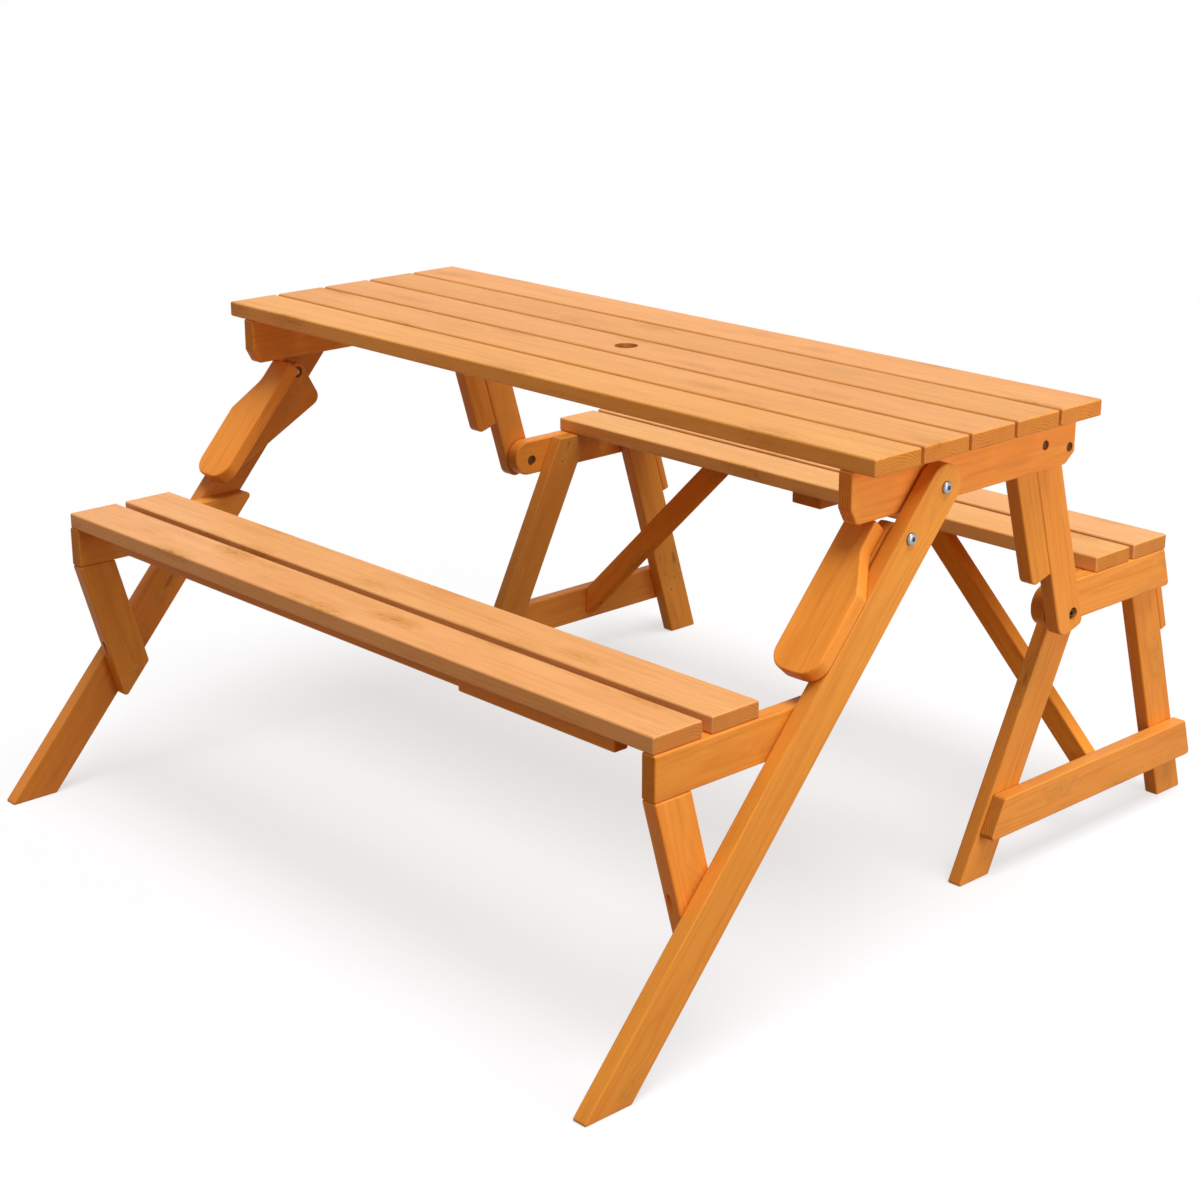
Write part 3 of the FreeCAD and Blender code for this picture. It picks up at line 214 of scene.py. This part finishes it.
def wood_material(name, grain, flat, centre, seed, stain_and_painted_light, light_and_shade_factor, sheen):
    """Stained wood with its grain along one direction and its widest face square to another."""
    chance = random.Random(seed)
    material, tree, shader = new_material(f"stained_wood_{name}")
    along = Vector(grain).normalized()
    face = Vector(flat).normalized()
    across = face.cross(along)
    turn = Matrix((along, across, face))
    angles = turn.to_euler("XYZ")
    shift = -(turn @ Vector(centre))
    coordinates = add_node(tree, "ShaderNodeTexCoord")
    local = add_node(tree, "ShaderNodeMapping", Vector=coordinates.outputs["Object"], Rotation=angles,
                     Location=shift).outputs[0]
    normal = add_node(tree, "ShaderNodeMapping", {"vector_type": "NORMAL"},
                      Vector=coordinates.outputs["Normal"], Rotation=angles).outputs[0]
    offset = [chance.uniform(-FIGURE_SPREAD, FIGURE_SPREAD) for _ in range(3)]

    def scaled(size, step):
        """The board's own coordinates divided by a figure's size along, across and through."""
        scale = [1 / length for length in size]
        place = [value + step for value in offset]
        return add_node(tree, "ShaderNodeMapping", Vector=local, Scale=scale, Location=place).outputs[0]

    def noise(layer_name):
        figure = FIGURES[layer_name]
        return add_node(tree, "ShaderNodeTexNoise", Vector=scaled(figure.size, figure.shift), Scale=1.0,
                        Detail=figure.detail, Roughness=figure.roughness).outputs[0]

    def layer(layer_name, value):
        """A layer's share where its noise has a value."""
        figure = FIGURES[layer_name]
        return ramp(tree, value, *figure.fade, *figure.share)

    knots = add_node(tree, "ShaderNodeTexVoronoi", Vector=scaled(KNOT_CELL, KNOT_SHIFT), Scale=1.0,
                     Randomness=1.0).outputs["Distance"]
    knot_core = ramp(tree, knots, *KNOT_CORE)
    knot_halo = ramp(tree, knots, *KNOT_HALO)
    late = growth_rings(tree, local, noise, layer, knot_halo, chance)
    fibre = noise("fibre")

    early_wood, late_wood = stain_and_painted_light
    # The board's brightness is its random tone times its factor of painted light and shade.
    brightness = chance.uniform(*BRIGHTNESS_RANGE) * light_and_shade_factor
    warmth = chance.uniform(*WARMTH_RANGE)
    pallor = chance.uniform(*PALLOR_RANGE)
    patch_shade = shade(late_wood, brightness * PATCH_BRIGHTNESS, warmth * PATCH_WARMTH, pallor)
    colour = mix(tree, multiply(tree, late, LATE_SHARE), shade(early_wood, brightness, warmth, pallor),
                 shade(late_wood, brightness, warmth, pallor))
    colour = mix(tree, layer("patch", noise("patch")), colour, patch_shade)
    colour = mix(tree, layer("streak", noise("streak")), colour, shade(late_wood, STREAK_BRIGHTNESS, warmth))
    colour = mix(tree, layer("fibre", fibre), colour, shade(late_wood, FIBRE_BRIGHTNESS, warmth))
    colour = mix(tree, layer("blotch", noise("blotch")), colour, shade(early_wood, *BLOTCH_SHADE))
    flecks = multiply(tree, knot_halo, layer("knot fleck", noise("knot fleck")))
    colour = mix(tree, multiply(tree, knot_halo, KNOT_SURROUND_SHARE), colour, linear(KNOT_SURROUND))
    colour = mix(tree, flecks, colour, linear(KNOT_FLECK))
    colour = mix(tree, multiply(tree, knot_core, KNOT_SHARE), colour, linear(KNOT))

    # End grain drinks more stain, so the sawn ends are darker and show the rings more.
    facing = math_node(tree, "ABSOLUTE", add_node(tree, "ShaderNodeSeparateXYZ", Vector=normal).outputs[0])
    sawn_end = ramp(tree, facing, *END_FACING)
    end_colour = mix(tree, late, shade(END_GRAIN, brightness, warmth), shade(END_GRAIN, *END_RING_SHADE))
    colour = mix(tree, multiply(tree, sawn_end, END_SHARE), colour, end_colour)
    fill(tree, shader.inputs["Base Color"], colour)

    roughness = multiply_add(tree, fibre, FIBRE_ROUGHNESS, WOOD_ROUGHNESS)
    roughness = multiply_add(tree, sawn_end, END_ROUGHNESS, roughness)
    fill(tree, shader.inputs["Roughness"], roughness)
    relief = multiply_add(tree, late, LATE_RELIEF, fibre)
    relief = multiply_add(tree, knot_core, KNOT_RELIEF, relief)
    bump = add_node(tree, "ShaderNodeBump", Strength=RELIEF_STRENGTH, Distance=RELIEF_HEIGHT, Height=relief)
    fill(tree, shader.inputs["Normal"], bump.outputs[0])
    fill(tree, shader.inputs["Specular IOR Level"], WOOD_SPECULAR * sheen)
    fill(tree, shader.inputs["Coat Weight"], COAT_WEIGHT * sheen)
    fill(tree, shader.inputs["Coat IOR"], COAT_IOR)
    fill(tree, shader.inputs["Coat Roughness"], COAT_ROUGHNESS)
    return material


# Metals: two colours that mix in small clouds, and the roughness in the clouds' smooth and dull places.
ZINC = ("zinc_plated_steel", "#A6A8AB", "#85878B", 0.22, 0.42)
DARK_STEEL = ("dark_steel", "#6E5238", "#4A3626", 0.35, 0.55)
BRASSY = ("yellow_passivated_steel", "#B8823F", "#8F6230", 0.35, 0.55)
CLOUD_SCALE = 420.0
CLOUD_DETAIL = 4.0
CLOUD_FADE = (0.2, 0.8)


def metal_material(name, light, dark, smooth, dull):
    """A plated or dark metal, a little cloudy."""
    material, tree, shader = new_material(name)
    coordinates = add_node(tree, "ShaderNodeTexCoord")
    cloud = add_node(tree, "ShaderNodeTexNoise", Vector=coordinates.outputs["Object"], Scale=CLOUD_SCALE,
                     Detail=CLOUD_DETAIL).outputs[0]
    fill(tree, shader.inputs["Base Color"], mix(tree, cloud, linear(light), linear(dark)))
    fill(tree, shader.inputs["Roughness"], ramp(tree, cloud, *CLOUD_FADE, smooth, dull))
    fill(tree, shader.inputs["Metallic"], 1.0)
    return material


# How far each board leans from upright, rearward positive, in degrees, and how steep the rear braces are.
LEANING = {"long_leg": 41.4, "link_arm": -16.7, "stop_block": -16.7, "front_seat_brace": -15.6,
           "rear_front_leg": 26.6, "rear_back_leg": -17.2, "rear_leg_block": -17.2, "armrest_bracket": 41.4}
REAR_BRACE_SLOPE = 44.3
LEVEL = ("top_rail", "link_spacer", "front_seat_rail", "rear_seat_rail", "foot_stretcher")
CROSSWAYS = ("top_slat_dowels", "rear_centre_batten")

# Which nodes are metal, and which of those aren't silvery.
METAL = ("bolts", "nuts", "washers", "screws")
# The metal nodes of the link arm and the fold pivot, and the long leg's nuts, are dark brown.
DARK_STEEL_NODES = ("link_arm", "fold_pivot", "long_leg_nuts")
BRASSY_NODES = ("rear_frame_screws", "rear_brace_screws", "front_frame_screws")

# Boards with the seats' stain; painted light and shade as factors on a board's colour, lighter for painted
# light on the armrest, the top and rear seat rails and the braces, darker for painted shade on the rear
# bench's left front leg under the seat and table; and boards whose surface is dull.
SEATS = ("front_seat_slat", "rear_seat_slat")
PAINTED_LIGHT_AND_SHADE = {"armrest_board": 1.25, "top_rail": 1.12, "rear_seat_rail": 1.1, "rear_brace": 1.25,
         "front_seat_brace_right": 1.3, "rear_front_leg_left": 0.8}
DULL = "rear_brace"


def grain_of(name):
    """Directions of a board's grain and of the normal of its widest face."""
    if name in CROSSWAYS:
        return (0, 1, 0), (0, 0, 1)
    if name.startswith(LEVEL):
        return (0, 1, 0), (1, 0, 0)
    if name.startswith("rear_brace"):
        angle = math.radians(REAR_BRACE_SLOPE)
        side = 1 if name.endswith("right") else -1
        return (side * math.cos(angle), 0, -math.sin(angle)), (0, 1, 0)
    if name.startswith("armrest_board"):
        lean = math.radians(LEANING["long_leg"])
        return (0, math.sin(lean), math.cos(lean)), (0, -math.cos(lean), math.sin(lean))
    for start, degrees in LEANING.items():
        if name.startswith(start):
            lean = math.radians(degrees)
            return (0, math.sin(lean), math.cos(lean)), (1, 0, 0)
    return (1, 0, 0), (0, 0, 1)


def stain_and_painted_light_of(name):
    # The seats and the top take stains made paler as painted light.
    if name.startswith(SEATS):
        return SEAT_STAIN_WITH_PAINTED_LIGHT
    return TOP_STAIN_WITH_PAINTED_LIGHT if "slat" in name else FRAME_STAIN


def board_material(name, seed):
    """The wood of one board, laid along its grain, with its own figure."""
    low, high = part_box(name)
    centre = [(a + b) / 2 for a, b in zip(low, high)]
    # The board's factor of painted light and shade, 1 for most boards.
    light_and_shade_factor = next((share for start, share in PAINTED_LIGHT_AND_SHADE.items() if name.startswith(start)), 1.0)
    sheen = 0.0 if name.startswith(DULL) else 1.0
    return wood_material(name, *grain_of(name), centre, seed, stain_and_painted_light_of(name), light_and_shade_factor, sheen)


def dress_nodes():
    zinc = metal_material(*ZINC)
    dark_metal = metal_material(*DARK_STEEL)
    brassy = metal_material(*BRASSY)
    for seed, name in enumerate(sorted(nodes)):
        if not any(word in name for word in METAL):
            material = board_material(name, seed)
        elif name.startswith(DARK_STEEL_NODES):
            material = dark_metal
        else:
            material = brassy if name in BRASSY_NODES else zinc
        for slot in nodes[name].material_slots:
            slot.material = material


# Studio: a pale floor that looks white, an even white surround, a soft key light from above, and a lamp
# close by on the right, which lights the near end more than the far one. Sizes are in metres, the key's
# softness is in degrees and the lamp's power in watts.
FLOOR_HALF = 60
FLOOR_MATT = "#8C6E4A"
FLOOR_PALE = "#F7FAFF"
FLOOR_WHITE = 0.64
KEY_DIRECTION = (0.25, -0.03, 0.95)
KEY_STRENGTH = 2.5
KEY_SOFTNESS = 35
SIDE_PLACE = (2.3, 0.35, 0.8)
SIDE_DIRECTION = (1, 0, 0)
SIDE_SIZE = 1.2
SIDE_POWER = 18
SURROUND = 0.30
SURROUND_TINT = "#FFEEDA"


def background_rays(tree):
    """1 for rays that show the background: the camera's, and those of gloss and glass."""
    path = add_node(tree, "ShaderNodeLightPath")
    seen = math_node(tree, "MAXIMUM", path.outputs["Is Camera Ray"], path.outputs["Is Glossy Ray"])
    return math_node(tree, "MAXIMUM", seen, path.outputs["Is Transmission Ray"])


def add_floor():
    """A floor that shows white with the soft shadow, and gives the object a warm, dim bounce."""
    bpy.ops.mesh.primitive_plane_add(size=2 * FLOOR_HALF, location=(0, 0, 0))
    floor = bpy.context.object
    floor.name = "studio_floor"
    material = bpy.data.materials.new("studio_floor")
    material.use_nodes = True
    tree = material.node_tree
    tree.nodes.clear()
    matt = add_node(tree, "ShaderNodeBsdfDiffuse", Color=linear(FLOOR_MATT))
    pale = add_node(tree, "ShaderNodeBsdfDiffuse", Color=linear(FLOOR_PALE))
    glow = add_node(tree, "ShaderNodeEmission", Color=linear(WHITE), Strength=1.0)
    seen = add_node(tree, "ShaderNodeMixShader", Fac=FLOOR_WHITE, i1=pale.outputs[0], i2=glow.outputs[0])
    surface = add_node(tree, "ShaderNodeMixShader", Fac=background_rays(tree), i1=matt.outputs[0],
                       i2=seen.outputs[0])
    output = add_node(tree, "ShaderNodeOutputMaterial")
    fill(tree, output.inputs[0], surface.outputs[0])
    floor.data.materials.append(material)


def add_surround():
    """An even surround: tinted and dim as light, plain white where it is seen."""
    world = bpy.data.worlds.new("studio")
    scene.world = world
    world.use_nodes = True
    tree = world.node_tree
    background = tree.nodes["Background"]
    seen = background_rays(tree)
    strength = add_node(tree, "ShaderNodeMapRange", i0=seen, i1=0.0, i2=1.0, i3=SURROUND, i4=1.0)
    fill(tree, background.inputs[0], mix(tree, seen, linear(SURROUND_TINT), linear(WHITE)))
    fill(tree, background.inputs[1], strength.outputs[0])


def add_lamp(name, kind, energy, direction):
    """A lamp that shines from one direction towards the object."""
    data = bpy.data.lights.new(name, kind)
    data.energy = energy
    lamp = bpy.data.objects.new(name, data)
    lamp.rotation_euler = Vector(direction).to_track_quat("Z", "Y").to_euler()
    scene.collection.objects.link(lamp)
    return lamp


def add_lights():
    key = add_lamp("key", "SUN", KEY_STRENGTH, KEY_DIRECTION)
    key.data.angle = math.radians(KEY_SOFTNESS)
    side = add_lamp("side", "AREA", SIDE_POWER, SIDE_DIRECTION)
    side.data.size = SIDE_SIZE
    side.location = SIDE_PLACE
    side.visible_camera = False


add_camera()
dress_nodes()
add_floor()
add_surround()
add_lights()
